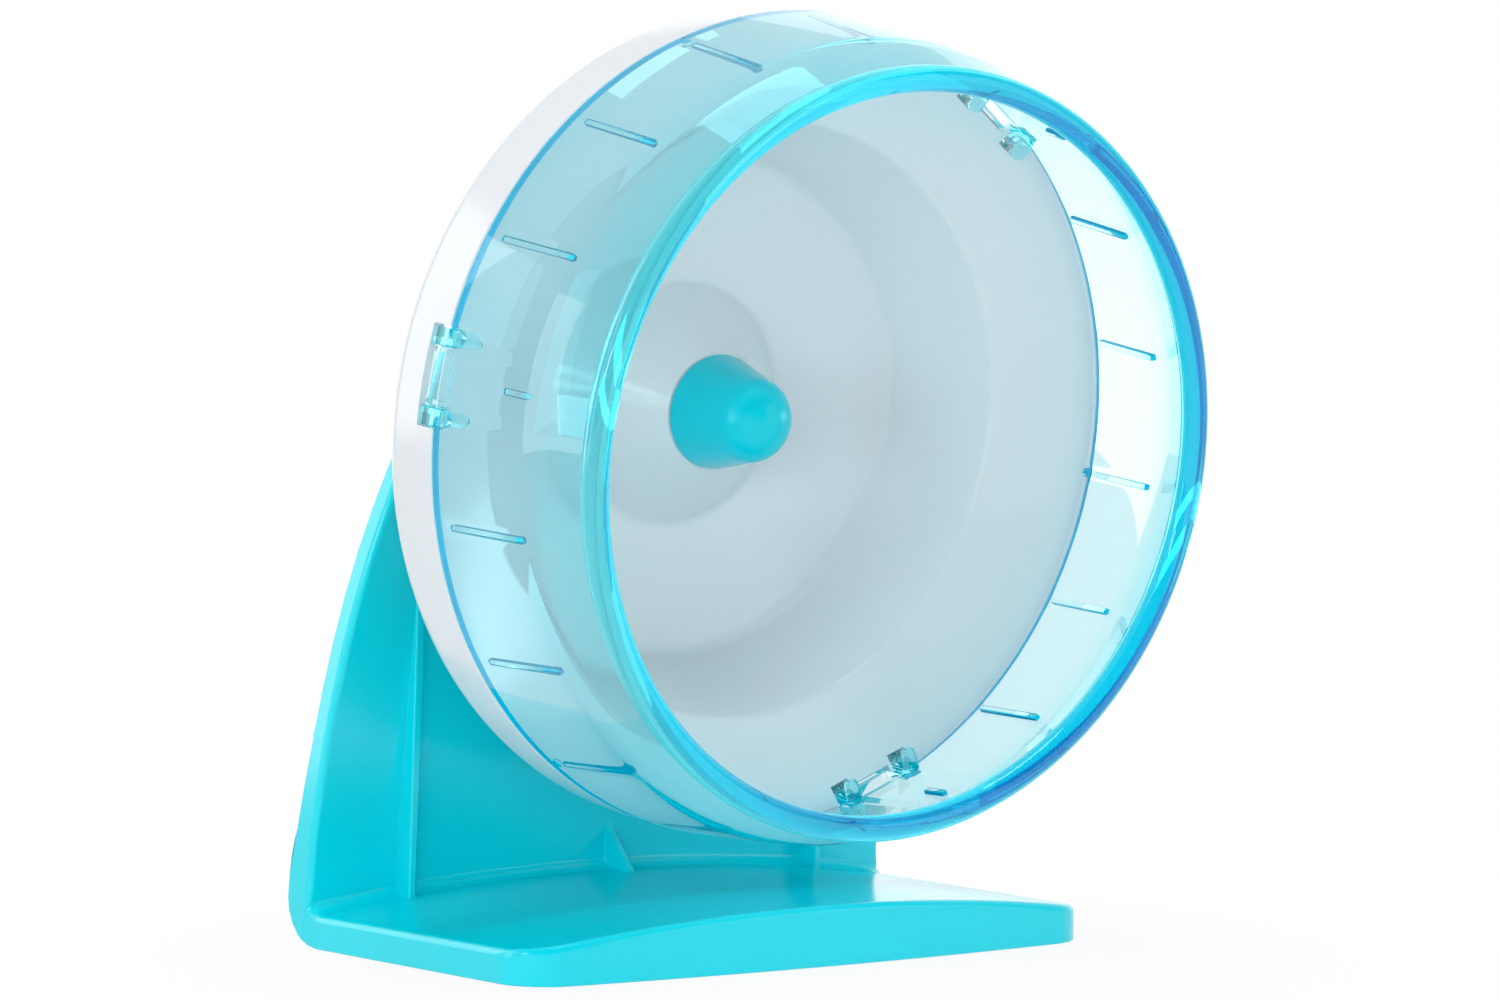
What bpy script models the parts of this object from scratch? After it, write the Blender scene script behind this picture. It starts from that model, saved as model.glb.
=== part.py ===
"""Hamster wheel: a clear running drum on a white dished disc, turning on a ball bearing
that sits on a bolt through a leaning upright, moulded in one with its base.

Metres, +Z up. The origin is the middle of the bounding box, on the surface the base stands on.
The open side of the wheel faces -Y. Axle pieces are turned about the local Z of an empty
whose origin lies on the axle, in the plane of the drum's rear edge, with +Z forward.
"""

import math

import bmesh
import bpy
from mathutils import Matrix, Vector

# Fits between pieces
SEAT_GAP = 0.0003
AXLE_FIT = 0.0002
RUNNING_GAP = 0.0012

# Pose of the wheel
AXLE_LEAN = math.radians(7.0)
WHEEL_PHASE = math.radians(-6.9)
WHEEL_CLEARANCE = 0.0094

# Running drum
DRUM_RADIUS = 0.0700
DRUM_WALL = 0.0019
TREAD_LENGTH = 0.0230
TREAD_TAPER = 0.0032
SHOULDER_LENGTH = 0.0109
SHOULDER_DROP = 0.0053
BEAD_TUBE = 0.0022
RUNG_COUNT = 18
RUNG_WIDTH = 0.0011
RUNG_HEIGHT = 0.0008
RUNG_INSET = 0.0028
PIP_RADIUS = 0.0008
PIP_HEIGHT = 0.0010

# Snap clips between drum and disc
CLIP_COUNT = 3
CLIP_FIRST_RUNG = 3
NOTCH_WIDTH = 0.0166
NOTCH_DEPTH = 0.0048
NOTCH_HEIGHT = 0.0052
HOOK_WIDTH = 0.0031
HOOK_PROUD = 0.0005
HOOK_ROOT = 0.0023
HOOK_THICKNESS = 0.0034
HOOK_TIP = 0.0013
HOOK_CATCH = 0.0014
CATCH_THICKNESS = 0.0009
KNOB_RADIUS = 0.0014
KNOB_HEIGHT = 0.0045
KNOB_ROUND = 0.0006
TONGUE_LENGTH = 0.0036
TONGUE_THICKNESS = 0.0013

# Back disc
RIM_DEPTH = 0.0160
RIM_ROUND = 0.0059
RIM_WALL = 0.0019
RIM_EDGE = 0.0006
DISC_WALL = 0.0020
SHELF_WIDTH = 0.0171
SHELF_DROP = 0.0069
STEP_ROUND = 0.0014
STEP_WIDTH = 0.0077
STEP_DEPTH = 0.0199
PAN_DISH = 0.0042
HUB_HEIGHT = 0.0121
NOSE_RADIUS = 0.0100
HUB_FLARE = 0.0114
NOSE_PLATE = 0.0024
NOSE_BORE_WALL = 0.0009
HOUSING_WALL = 0.0024
HOUSING_TAIL = 0.0016

# Ball bearing
BEARING_WIDTH = 0.0060
BALL_COUNT = 7
BALL_RADIUS = 0.00165
BALL_PLAY = 0.0002
PITCH_RADIUS = 0.0063
RACE_WALL = 0.0018
SHIELD_THICKNESS = 0.0003
SHIELD_INSET = 0.0002
CAGE_WALL = 0.0008
CAGE_WIDTH = 0.0046

# Axle stack
AXLE_RADIUS = 0.0029
SPACER_LENGTH = 0.0020
SPACER_WALL = 0.0015
WASHER_THICKNESS = 0.0010
WASHER_WALL = 0.0018
REAR_WASHER_WALL = 0.0032
NUT_HALF_WIDTH = 0.0050
NUT_HEIGHT = 0.0055
BOLT_HEAD_HEIGHT = 0.0027
BOLT_OVERHANG = 0.0010
BOLT_CHAMFER = 0.0006
CLIP_RING_THICKNESS = 0.0010
CLIP_RING_WALL = 0.0016
CLIP_GROOVE_DEPTH = 0.0008
CLIP_RING_MOUTH = math.radians(50.0)

# Hub cap
CAP_LENGTH = 0.0160
CAP_WALL = 0.0015
CAP_DOME_RADIUS = 0.0074
CAP_DOME_HEIGHT = 0.0063
SPIGOT_LENGTH = 0.0018
SPIGOT_WALL = 0.0010

# Stand
STAND_HALF_WIDTH = 0.0612
SHELL_WALL = 0.0024
SKIRT_DEPTH = 0.0044
SKIRT_FLARE = 0.0026
SKIRT_FLARE_HEIGHT = 0.0340
SIDE_HEIGHT = 0.0058
CROWN_RISE = 0.0044
BASE_REACH = 0.0664
BASE_TAPER = 0.0024
FRONT_BOW = 0.0035
FRONT_CORNER_RADIUS = 0.0080
FLOOR_FILLET = 0.0030
EDGE_ROUND = 0.0012
UPRIGHT_HEADROOM = 0.0340
PAN_GAP = 0.0075
BACK_RIB_WIDTH = 0.0016
BACK_RIB_PITCH = 0.0290
FRONT_RIB_OFFSET = 0.0434
FRONT_RIB_WIDTH = 0.0014
FRONT_RIB_DEPTH = 0.0050
FRONT_RIB_HEIGHT = 0.0565
GUSSET_WIDTH = 0.0012
GUSSET_DEPTH = 0.0082
GUSSET_HEIGHT = 0.0078
BOSS_TIP_WALL = 0.0021
BOSS_FOOT_FLARE = 0.0060
REAR_BOSS_DEPTH = 0.0052
REAR_BOSS_WALL = 0.0032

# Facets
TURN_STEPS = 64
SMALL_TURN_STEPS = 26
ARCH_STEPS = 44
WIDTH_STEPS = 20
ROUND_STEPS = 3
OVERRUN = 0.0020

# Places along the axle, forward from the drum's rear edge
BEAD_RADIUS = DRUM_RADIUS - TREAD_TAPER - SHOULDER_DROP
BEAD_PLACE = TREAD_LENGTH + SHOULDER_LENGTH
SHELF_OUTER = DRUM_RADIUS - RIM_WALL
SHELF_INNER = SHELF_OUTER - SHELF_WIDTH
STEP_INNER = SHELF_INNER - STEP_WIDTH
HUB_FOOT_RADIUS = NOSE_RADIUS + HUB_FLARE
RIM_FACE = -SEAT_GAP
SHELF_OUTER_PLACE = RIM_FACE - RIM_EDGE
SHELF_INNER_PLACE = SHELF_OUTER_PLACE - SHELF_DROP
STEP_PLACE = SHELF_INNER_PLACE - STEP_DEPTH
HUB_FOOT_PLACE = STEP_PLACE - PAN_DISH
NOSE_PLACE = HUB_FOOT_PLACE + HUB_HEIGHT
PAN_BACK_PLACE = HUB_FOOT_PLACE - DISC_WALL
WALL_FACE_PLACE = PAN_BACK_PLACE - PAN_GAP
WALL_BACK_PLACE = WALL_FACE_PLACE - REAR_BOSS_DEPTH
RACE_FRONT = NOSE_PLACE - NOSE_PLATE - SEAT_GAP
RACE_REAR = RACE_FRONT - BEARING_WIDTH
BEARING_MIDDLE = (RACE_FRONT + RACE_REAR) / 2
INNER_RACE_BORE = AXLE_RADIUS + AXLE_FIT
BALL_TRACK = BALL_RADIUS + BALL_PLAY
INNER_SHOULDER = INNER_RACE_BORE + RACE_WALL
OUTER_SHOULDER = 2 * PITCH_RADIUS - INNER_SHOULDER
BEARING_RADIUS = OUTER_SHOULDER + RACE_WALL
SEAT_RADIUS = BEARING_RADIUS + SEAT_GAP
SPACER_FRONT = RACE_REAR - SEAT_GAP
SPACER_REAR = SPACER_FRONT - SPACER_LENGTH
BOSS_TIP_PLACE = SPACER_REAR - SEAT_GAP
WASHER_REAR = RACE_FRONT + SEAT_GAP
WASHER_FRONT = WASHER_REAR + WASHER_THICKNESS
NUT_REAR = WASHER_FRONT + SEAT_GAP
NUT_FRONT = NUT_REAR + NUT_HEIGHT
NUT_CORNER = NUT_HALF_WIDTH / math.cos(math.pi / 6)
CAP_BASE_PLACE = NOSE_PLACE + SEAT_GAP
NOSE_BORE = NUT_CORNER + SPIGOT_WALL + 2 * SEAT_GAP + NOSE_BORE_WALL / 2
HOUSING_RADIUS = SEAT_RADIUS + HOUSING_WALL
CLIP_GROOVE_FRONT = RACE_REAR
CLIP_GROOVE_REAR = CLIP_GROOVE_FRONT - CLIP_RING_THICKNESS - 2 * SEAT_GAP
HOUSING_END = CLIP_GROOVE_REAR - HOUSING_TAIL
HEAD_FRONT = WALL_BACK_PLACE + BOLT_HEAD_HEIGHT + SEAT_GAP
REAR_WASHER_REAR = HEAD_FRONT + SEAT_GAP
REAR_WASHER_FRONT = REAR_WASHER_REAR + WASHER_THICKNESS
COUNTERBORE_PLACE = REAR_WASHER_FRONT + SEAT_GAP
REAR_WASHER_RADIUS = INNER_RACE_BORE + REAR_WASHER_WALL

# Places of the axle and the stand in the world
LEAN_COS = math.cos(AXLE_LEAN)
LEAN_SIN = math.sin(AXLE_LEAN)
FLOOR_TOP = SIDE_HEIGHT + CROWN_RISE
AXLE_HEIGHT = FLOOR_TOP + WHEEL_CLEARANCE + DRUM_RADIUS * LEAN_COS
WALL_AXLE_HEIGHT = AXLE_HEIGHT - WALL_FACE_PLACE * LEAN_SIN
WALL_FOOT = -WALL_FACE_PLACE * LEAN_COS + (WALL_AXLE_HEIGHT - FLOOR_TOP) * LEAN_SIN / LEAN_COS
BACK_CORNER_RADIUS = SKIRT_DEPTH + SIDE_HEIGHT * 0.75
BACK_FOOT = (
    WALL_FOOT
    + (SKIRT_DEPTH + SKIRT_FLARE) / LEAN_COS
    + (FLOOR_TOP - BACK_CORNER_RADIUS) * LEAN_SIN / LEAN_COS
)
BASE_FRONT = WALL_FOOT - BASE_REACH
WHEEL_FRONT = -(BEAD_PLACE * LEAN_COS + BEAD_RADIUS * LEAN_SIN + BEAD_TUBE)
MODEL_SHIFT = -(WHEEL_FRONT + BACK_FOOT) / 2
CROWN_RADIUS = (STAND_HALF_WIDTH**2 + CROWN_RISE**2) / (2 * CROWN_RISE)
UPRIGHT_TOP = WALL_AXLE_HEIGHT + UPRIGHT_HEADROOM


def make_material(name, colour, roughness, metallic=0.0, transmission=0.0):
    """A Principled material in one plain colour."""
    material = bpy.data.materials.new(name)
    material.use_nodes = True
    shader = material.node_tree.nodes["Principled BSDF"]
    shader.inputs["Base Color"].default_value = (*colour, 1.0)
    shader.inputs["Roughness"].default_value = roughness
    shader.inputs["Metallic"].default_value = metallic
    shader.inputs["Transmission Weight"].default_value = transmission
    material.diffuse_color = (*colour, 1.0)
    return material


def place(name, mesh, material, parent):
    """A named object for one piece, shaded smooth with sharp edges kept."""
    mesh.materials.clear()
    mesh.materials.append(material)
    mesh.shade_smooth()
    mesh.set_sharp_from_angle(angle=math.radians(30.0))
    piece = bpy.data.objects.new(name, mesh)
    bpy.context.collection.objects.link(piece)
    piece.parent = parent
    return piece


def mesh_from(name, build):
    """Runs build on an empty bmesh and returns the mesh with its faces pointing out."""
    work = bmesh.new()
    build(work)
    bmesh.ops.recalc_face_normals(work, faces=work.faces)
    mesh = bpy.data.meshes.new(name)
    work.to_mesh(mesh)
    work.free()
    return mesh


def turned(name, profile, steps, phase=0.0):
    """Turns a closed outline of (radius, place) points about Z. A radius of zero meets the axis."""

    def build(work):
        rings = []
        for step in range(steps):
            angle = phase + 2 * math.pi * step / steps
            ring = []
            for index, (radius, height) in enumerate(profile):
                if radius == 0 and step:
                    ring.append(rings[0][index])
                else:
                    point = (radius * math.cos(angle), radius * math.sin(angle), height)
                    ring.append(work.verts.new(point))
            rings.append(ring)
        count = len(profile)
        for step in range(steps):
            here, there = rings[step], rings[(step + 1) % steps]
            for index in range(count):
                after = (index + 1) % count
                corners = [here[index], here[after], there[after], there[index]]
                unique = list(dict.fromkeys(corners))
                if len(unique) > 2:
                    work.faces.new(unique)

    return mesh_from(name, build)


def prism(name, outline, low, high, matrix=None):
    """Extrudes a flat outline of (x, y) points along Z from low to high, then places it."""

    def build(work):
        floor = [work.verts.new((x, y, low)) for x, y in outline]
        roof = [work.verts.new((x, y, high)) for x, y in outline]
        work.faces.new(floor)
        work.faces.new(roof)
        count = len(outline)
        for index in range(count):
            after = (index + 1) % count
            work.faces.new((floor[index], floor[after], roof[after], roof[index]))
        if matrix is not None:
            bmesh.ops.transform(work, matrix=matrix, verts=work.verts)

    return mesh_from(name, build)


def skinned(name, sections):
    """Joins closed sections of equal point counts in order, and closes both ends."""

    def build(work):
        rows = [[work.verts.new(point) for point in section] for section in sections]
        count = len(rows[0])
        for here, there in zip(rows, rows[1:]):
            for index in range(count):
                after = (index + 1) % count
                work.faces.new((here[index], here[after], there[after], there[index]))
        work.faces.new(rows[0])
        work.faces.new(rows[-1])

    return mesh_from(name, build)


def joined(name, meshes):
    """One mesh that holds several separate shapes, for use as a single tool."""
    work = bmesh.new()
    for mesh in meshes:
        work.from_mesh(mesh)
        bpy.data.meshes.remove(mesh)
    mesh = bpy.data.meshes.new(name)
    work.to_mesh(mesh)
    work.free()
    return mesh


def combined(mesh, tool, operation, crossing=False):
    """The exact Boolean of two meshes that share a frame. Crossing also resolves faces of one
    mesh that meet each other in very flat angles."""
    body = bpy.data.objects.new("body", mesh)
    cutter = bpy.data.objects.new("cutter", tool)
    for item in (body, cutter):
        bpy.context.collection.objects.link(item)
    cutter.hide_render = True
    cutter.display_type = "WIRE"
    modifier = body.modifiers.new("combine", "BOOLEAN")
    modifier.operation = operation
    modifier.solver = "EXACT"
    modifier.use_self = crossing
    modifier.object = cutter
    bpy.context.view_layer.update()
    graph = bpy.context.evaluated_depsgraph_get()
    result = bpy.data.meshes.new_from_object(body.evaluated_get(graph))
    for item in (body, cutter):
        bpy.data.objects.remove(item)
    for old in (mesh, tool):
        bpy.data.meshes.remove(old)
    return result


def arc(centre, radius, start, end, steps):
    """Points on an arc from start to end, both ends included; angles in degrees."""
    points = []
    for step in range(steps + 1):
        angle = math.radians(start + (end - start) * step / steps)
        points.append((centre[0] + radius * math.cos(angle), centre[1] + radius * math.sin(angle)))
    return points


def offset_line(start, end, distance):
    """A straight line moved sideways to its right by distance."""
    along = (Vector(end) - Vector(start)).normalized()
    side = Vector((along.y, -along.x)) * distance
    return Vector(start) + side, Vector(end) + side


def meeting(first, second):
    """Where two endless lines, each given by two points, cross."""
    (a, b), (c, d) = first, second
    u, v = b - a, d - c
    share = ((c - a).x * v.y - (c - a).y * v.x) / (u.x * v.y - u.y * v.x)
    return tuple(a + u * share)


def on_wheel(angle):
    """A frame on the wheel at an angle: X runs outwards, Y along the turn, Z forward."""
    return Matrix.Rotation(angle, 4, "Z")


def box(name, low, high, matrix=None):
    """A block between two corners, then placed."""
    outline = [(low[0], low[1]), (high[0], low[1]), (high[0], high[1]), (low[0], high[1])]
    return prism(name, outline, low[2], high[2], matrix)


def rung_angle(index):
    return WHEEL_PHASE + 2 * math.pi * index / RUNG_COUNT


def clip_rungs():
    step = RUNG_COUNT // CLIP_COUNT
    return [CLIP_FIRST_RUNG + step * index for index in range(CLIP_COUNT)]


def drum_profile():
    """Conical tread, shoulder and rolled front bead, as one wall."""
    tread_end = DRUM_RADIUS - TREAD_TAPER
    inner_end = tread_end - DRUM_WALL
    bead = (BEAD_RADIUS, BEAD_PLACE)
    shoulder_mid = (BEAD_RADIUS + SHOULDER_DROP * 0.62, TREAD_LENGTH + SHOULDER_LENGTH * 0.42)
    outer = [(DRUM_RADIUS, 0), (tread_end, TREAD_LENGTH), shoulder_mid]
    rolled = arc(bead, BEAD_TUBE, -35.0, 215.0, 7)
    inner = [
        (shoulder_mid[0] - DRUM_WALL, shoulder_mid[1] - DRUM_WALL * 0.35),
        (inner_end, TREAD_LENGTH),
        (DRUM_RADIUS - DRUM_WALL, 0),
    ]
    return outer + rolled + inner


def rung(angle, start_share):
    """A grip bar along the inside of the tread, from a share of its run to the front end."""
    slope = math.atan2(TREAD_TAPER, TREAD_LENGTH)
    run = (TREAD_LENGTH - 2 * RUNG_INSET) / math.cos(slope)
    start = RUNG_INSET / math.cos(slope) + run * start_share
    end = RUNG_INSET / math.cos(slope) + run
    inner = -DRUM_WALL - RUNG_HEIGHT
    outline = [
        (inner, start + RUNG_HEIGHT),
        (inner, end - RUNG_HEIGHT),
        (-DRUM_WALL / 2, end),
        (-DRUM_WALL / 2, start),
    ]
    lay = Matrix.Rotation(math.radians(90.0), 4, "X")
    tilt = Matrix.Rotation(-slope, 4, "Y")
    frame = on_wheel(angle) @ Matrix.Translation((DRUM_RADIUS, 0, 0)) @ tilt @ lay
    return prism("rung", outline, -RUNG_WIDTH / 2, RUNG_WIDTH / 2, frame)


def shelf_back(radius):
    """Place of the back of the disc's outer shelf at a radius."""
    slope = SHELF_DROP / SHELF_WIDTH
    front = SHELF_OUTER_PLACE - (SHELF_OUTER - radius) * slope
    return front - DISC_WALL * math.hypot(1, slope)


def clip(angle):
    """Two hooks, each with a knob at its root, and a tongue between them at the drum's rear
    edge. The hooks snap through the disc's notch and catch behind its shelf."""
    frame = on_wheel(angle)
    outer = DRUM_RADIUS + HOOK_PROUD
    half = NOTCH_WIDTH / 2 - SEAT_GAP
    middle = half - HOOK_WIDTH / 2
    length = NOTCH_DEPTH - SEAT_GAP
    leg = math.sqrt((SHELF_OUTER - 2 * SEAT_GAP) ** 2 - half**2)
    catch = DRUM_RADIUS - NOTCH_HEIGHT - HOOK_CATCH
    catch_front = shelf_back(catch) - SEAT_GAP
    inner = outer - HOOK_THICKNESS
    outline = [
        (outer - HOOK_PROUD, HOOK_ROOT),
        (outer, HOOK_PROUD),
        (outer, -length + HOOK_TIP),
        (outer - HOOK_TIP, -length),
        (leg, -length),
        (leg, catch_front - CATCH_THICKNESS),
        (catch, catch_front - CATCH_THICKNESS),
        (catch, catch_front),
        (inner, shelf_back(inner)),
        (inner, HOOK_ROOT),
    ]
    lay = Matrix.Rotation(math.radians(90.0), 4, "X")
    hooks, knobs = [], []
    for side in (-1, 1):
        shift = Matrix.Translation((0, side * middle + HOOK_WIDTH / 2, 0))
        hooks.append(prism("hook", outline, 0, HOOK_WIDTH, frame @ shift @ lay))
        knobs.append(knob(frame @ Matrix.Translation((0, side * middle, KNOB_RADIUS + SEAT_GAP))))
    tongue_top = DRUM_RADIUS - DRUM_WALL / 2
    tongue = box(
        "tongue",
        (tongue_top - TONGUE_THICKNESS, -middle, -TONGUE_LENGTH),
        (tongue_top, middle, DRUM_WALL),
        frame,
    )
    return hooks, knobs, tongue


def knob(frame):
    """A round-ended peg that points from the drum's wall towards the axle."""
    tip = DRUM_RADIUS - DRUM_WALL - KNOB_HEIGHT
    rows = [
        (DRUM_RADIUS - DRUM_WALL / 2, KNOB_RADIUS),
        (tip + KNOB_ROUND, KNOB_RADIUS),
        (tip, KNOB_RADIUS - KNOB_ROUND),
    ]
    sections = []
    for height, radius in rows:
        circle = arc((0, 0), radius, 0, 324, 9)
        sections.append([frame @ Vector((height, y, z)) for y, z in circle])
    return skinned("knob", sections)


def pip(angle):
    """A small moulding pip on the drum's inner rear edge."""
    inner = DRUM_RADIUS - DRUM_WALL
    lay = Matrix.Translation((inner + DRUM_WALL / 2, 0, PIP_RADIUS)) @ Matrix.Rotation(
        math.radians(-90.0), 4, "Y"
    )
    round_end = arc((0, 0), PIP_RADIUS, 0, 315, 7)
    return prism("pip", round_end, 0, PIP_HEIGHT + DRUM_WALL / 2, on_wheel(angle) @ lay)


def make_drum():
    mesh = turned("drum", drum_profile(), TURN_STEPS, WHEEL_PHASE)
    clipped = clip_rungs()
    bars = []
    for index in range(RUNG_COUNT):
        start = 0.67 if index in clipped else 0.0
        bars.append(rung(rung_angle(index), start))
    hooks, knobs, tongues, pips = [], [], [], []
    for index in clipped:
        pair, pegs, tongue = clip(rung_angle(index))
        hooks += pair
        knobs += pegs
        tongues.append(tongue)
        pips.append(pip(rung_angle(index + RUNG_COUNT // CLIP_COUNT // 2)))
    mesh = combined(mesh, joined("rungs", bars + pips), "UNION")
    mesh = combined(mesh, joined("tongues", tongues), "UNION")
    mesh = combined(mesh, joined("hooks", hooks), "UNION")
    return combined(mesh, joined("knobs", knobs), "UNION")


def disc_profile():
    """The dished disc with its rolled rim, pan, hub cone and bearing housing, as one wall."""
    shelf = (Vector((SHELF_OUTER, SHELF_OUTER_PLACE)), Vector((SHELF_INNER, SHELF_INNER_PLACE)))
    step = (shelf[1], Vector((STEP_INNER, STEP_PLACE)))
    pan = (step[1], Vector((HUB_FOOT_RADIUS, HUB_FOOT_PLACE)))
    cone = (pan[1], Vector((NOSE_RADIUS, NOSE_PLACE)))
    back = [offset_line(*line, -DISC_WALL) for line in (shelf, step, pan, cone)]

    def eased(before, corner, after):
        """Two points that cut a corner back by the step's rounding."""
        first = corner + (before - corner).normalized() * STEP_ROUND
        second = corner + (after - corner).normalized() * STEP_ROUND
        return [tuple(first), tuple(second)]

    front = [(DRUM_RADIUS - RIM_EDGE, RIM_FACE), (SHELF_OUTER + RIM_EDGE, RIM_FACE)]
    front.append(tuple(shelf[0]))
    front += eased(shelf[0], shelf[1], step[1])
    front += eased(shelf[1], step[1], pan[1])
    front += eased(step[1], pan[1], cone[1])
    front.append(tuple(cone[1]))
    housing = [
        (NOSE_BORE, NOSE_PLACE),
        (NOSE_BORE, NOSE_PLACE - NOSE_PLATE),
        (SEAT_RADIUS, NOSE_PLACE - NOSE_PLATE),
        (SEAT_RADIUS, CLIP_GROOVE_FRONT),
        (SEAT_RADIUS + CLIP_GROOVE_DEPTH, CLIP_GROOVE_FRONT),
        (SEAT_RADIUS + CLIP_GROOVE_DEPTH, CLIP_GROOVE_REAR),
        (SEAT_RADIUS, CLIP_GROOVE_REAR),
        (SEAT_RADIUS, HOUSING_END),
        (HOUSING_RADIUS, HOUSING_END),
    ]
    tube = (Vector((HOUSING_RADIUS, HOUSING_END)), Vector((HOUSING_RADIUS, NOSE_PLACE)))
    housing.append(meeting(tube, back[3]))
    rear = [
        meeting(back[3], back[2]),
        meeting(back[2], back[1]),
        meeting(back[1], back[0]),
    ]
    skirt = (Vector((SHELF_OUTER, 0)), Vector((SHELF_OUTER, -RIM_DEPTH)))
    rear.append(meeting(back[0], skirt))
    roll = (SHELF_OUTER - RIM_ROUND + RIM_WALL, -RIM_DEPTH + RIM_ROUND)
    rear += arc(roll, RIM_ROUND - RIM_WALL, 0.0, -90.0, ROUND_STEPS)
    rear += arc(roll, RIM_ROUND, -90.0, 0.0, ROUND_STEPS + 1)
    rear.append((DRUM_RADIUS, RIM_FACE - RIM_EDGE))
    return front + housing + rear


def make_disc():
    mesh = turned("back_disc", disc_profile(), TURN_STEPS, WHEEL_PHASE)
    notches = []
    for index in clip_rungs():
        low = (DRUM_RADIUS - NOTCH_HEIGHT, -NOTCH_WIDTH / 2, -NOTCH_DEPTH)
        high = (DRUM_RADIUS + OVERRUN, NOTCH_WIDTH / 2, OVERRUN)
        notches.append(box("notch", low, high, on_wheel(rung_angle(index))))
    return combined(mesh, joined("notches", notches), "DIFFERENCE")


def race_profile(shoulder, back):
    """A race ring: its shoulders, with the ball track between them, and its plain back."""
    low, high = RACE_REAR, RACE_FRONT
    inward = 1 if back > shoulder else -1
    reach = abs(PITCH_RADIUS - shoulder)
    half = math.sqrt(BALL_TRACK**2 - reach**2)
    spread = math.degrees(math.asin(half / BALL_TRACK))
    centre = (PITCH_RADIUS, BEARING_MIDDLE)
    if inward > 0:
        track = arc(centre, BALL_TRACK, -spread, spread, 6)
    else:
        track = arc(centre, BALL_TRACK, 180 + spread, 180 - spread, 6)
    return [(shoulder, low), *track, (shoulder, high), (back, high), (back, low)]


def make_cage():
    """A ribbon ring with a round pocket for each ball."""
    inner, outer = PITCH_RADIUS - CAGE_WALL / 2, PITCH_RADIUS + CAGE_WALL / 2
    low, high = BEARING_MIDDLE - CAGE_WIDTH / 2, BEARING_MIDDLE + CAGE_WIDTH / 2
    ring = [(inner, low), (outer, low), (outer, high), (inner, high)]
    mesh = turned("bearing_cage", ring, SMALL_TURN_STEPS, math.pi / SMALL_TURN_STEPS)
    pockets = []
    for index in range(BALL_COUNT):
        turn = on_wheel(2 * math.pi * index / BALL_COUNT)
        lay = Matrix.Translation((0, 0, BEARING_MIDDLE)) @ Matrix.Rotation(math.radians(90.0), 4, "Y")
        outline = arc((0, 0), BALL_TRACK, 0, 330, 11)
        pockets.append(prism("pocket", outline, inner - OVERRUN, outer + OVERRUN, turn @ lay))
    return combined(mesh, joined("pockets", pockets), "DIFFERENCE")


def make_ball(name):
    def build(work):
        bmesh.ops.create_uvsphere(work, u_segments=10, v_segments=7, radius=BALL_RADIUS)

    return mesh_from(name, build)


def ring(name, inner, outer, low, high):
    """A plain washer or bush."""
    return turned(name, [(inner, low), (outer, low), (outer, high), (inner, high)], SMALL_TURN_STEPS)


def hexagon(half_width):
    return arc((0, 0), half_width / math.cos(math.pi / 6), 0, 300, 5)


def make_nut():
    mesh = prism("lock_nut", hexagon(NUT_HALF_WIDTH), NUT_REAR, NUT_FRONT)
    bore = [(0, NUT_REAR - OVERRUN), (INNER_RACE_BORE, NUT_REAR - OVERRUN)]
    bore += [(INNER_RACE_BORE, NUT_FRONT + OVERRUN), (0, NUT_FRONT + OVERRUN)]
    return combined(mesh, turned("bore", bore, SMALL_TURN_STEPS), "DIFFERENCE")


def make_bolt():
    """Hexagon head in the wall's rear boss, plain shank through to the nut."""
    tip = NUT_FRONT + BOLT_OVERHANG
    shank = [
        (0, HEAD_FRONT - BOLT_HEAD_HEIGHT / 2),
        (AXLE_RADIUS, HEAD_FRONT - BOLT_HEAD_HEIGHT / 2),
        (AXLE_RADIUS, tip - BOLT_CHAMFER),
        (AXLE_RADIUS - BOLT_CHAMFER, tip),
        (0, tip),
    ]
    mesh = turned("axle_bolt", shank, SMALL_TURN_STEPS)
    head = prism("head", hexagon(NUT_HALF_WIDTH), HEAD_FRONT - BOLT_HEAD_HEIGHT, HEAD_FRONT)
    return combined(mesh, head, "UNION")


def make_clip_ring():
    """An open snap ring that holds the bearing in its housing."""
    outer = SEAT_RADIUS + CLIP_GROOVE_DEPTH - SEAT_GAP
    inner = outer - CLIP_RING_WALL
    low = CLIP_GROOVE_REAR + SEAT_GAP
    high = low + CLIP_RING_THICKNESS
    mouth = math.degrees(CLIP_RING_MOUTH) / 2
    outline = arc((0, 0), outer, mouth, 360 - mouth, SMALL_TURN_STEPS)
    outline += arc((0, 0), inner, 360 - mouth, mouth, SMALL_TURN_STEPS)
    return prism("bearing_clip", outline, low, high)


def cap_profile():
    """A blunt hollow cone with a domed end, and a spigot that plugs into the hub's nose."""
    base = CAP_BASE_PLACE
    spring = base + CAP_LENGTH - CAP_DOME_HEIGHT

    def dome(inset, angles):
        """Points on the elliptical end, moved inwards by inset."""
        radius, height = CAP_DOME_RADIUS - inset, CAP_DOME_HEIGHT - inset
        turns = [math.radians(angle) for angle in angles]
        return [(radius * math.cos(turn), spring + height * math.sin(turn)) for turn in turns]

    outer = [(NOSE_RADIUS, base), *dome(0, (5, 22, 39, 56, 73))]
    outer.append((0, base + CAP_LENGTH))
    inner = [(0, base + CAP_LENGTH - CAP_WALL), *dome(CAP_WALL, (65, 40, 10))]
    spigot_outer = NOSE_BORE - SEAT_GAP
    spigot_inner = spigot_outer - SPIGOT_WALL
    inner += [
        (spigot_inner, base + CAP_WALL),
        (spigot_inner, base - SPIGOT_LENGTH),
        (spigot_outer, base - SPIGOT_LENGTH),
        (spigot_outer, base),
    ]
    return outer + inner


def crown_height(x):
    """Height of the floor's top face, which is arched across its width."""
    return FLOOR_TOP - CROWN_RADIUS + math.sqrt(CROWN_RADIUS**2 - x**2)


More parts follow.
